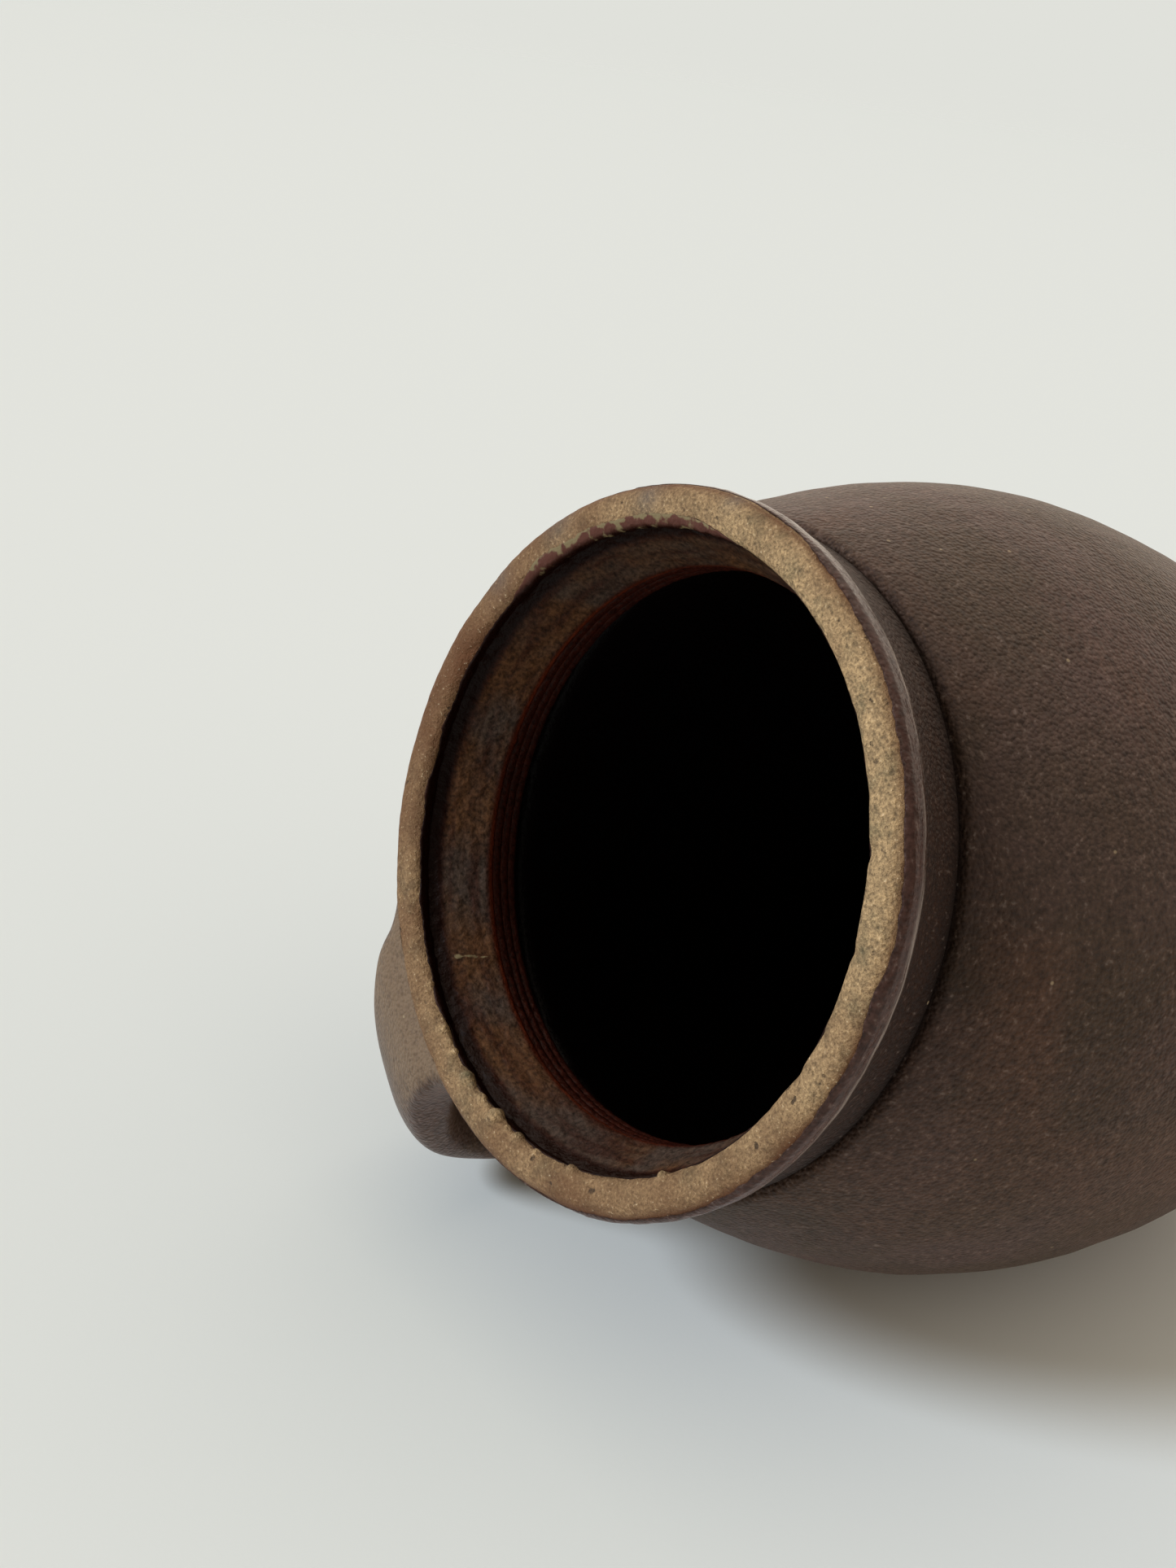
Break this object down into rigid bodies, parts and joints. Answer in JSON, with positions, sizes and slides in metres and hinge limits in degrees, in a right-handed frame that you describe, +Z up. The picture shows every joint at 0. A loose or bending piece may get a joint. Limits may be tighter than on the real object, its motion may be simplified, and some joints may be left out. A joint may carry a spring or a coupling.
{
  "type": "stoneware jar with handle",
  "caption": "Round-bellied brown stoneware jar with a strap handle, a grooved collar, a rounded bare lip and an inner ledge for a lid, standing on a flat foot.",
  "frame": {"origin": "centre of the flat foot, on the surface that the jar stands on", "axes": "+Z up along the jar's axis and out of the mouth; +Y through the middle of the handle; X across, with both sides alike"},
  "size_m": [0.1208, 0.1391, 0.144],
  "materials": {
    "bare_clay": "bare fired stoneware, sandy and matt, with dark specks",
    "brown_glaze": "thin brown salt or slip glaze, satin, with a fine orange-peel grain",
    "inner_glaze": "red-brown glaze, glossier in the throat and dull grey-brown on the lid ledge"
  },
  "bodies": {
    "root": {"clay_body": "bare_clay", "outer_glaze": "brown_glaze", "inner_glaze": "inner_glaze", "handle": "brown_glaze"}
  },
  "joints": []
}
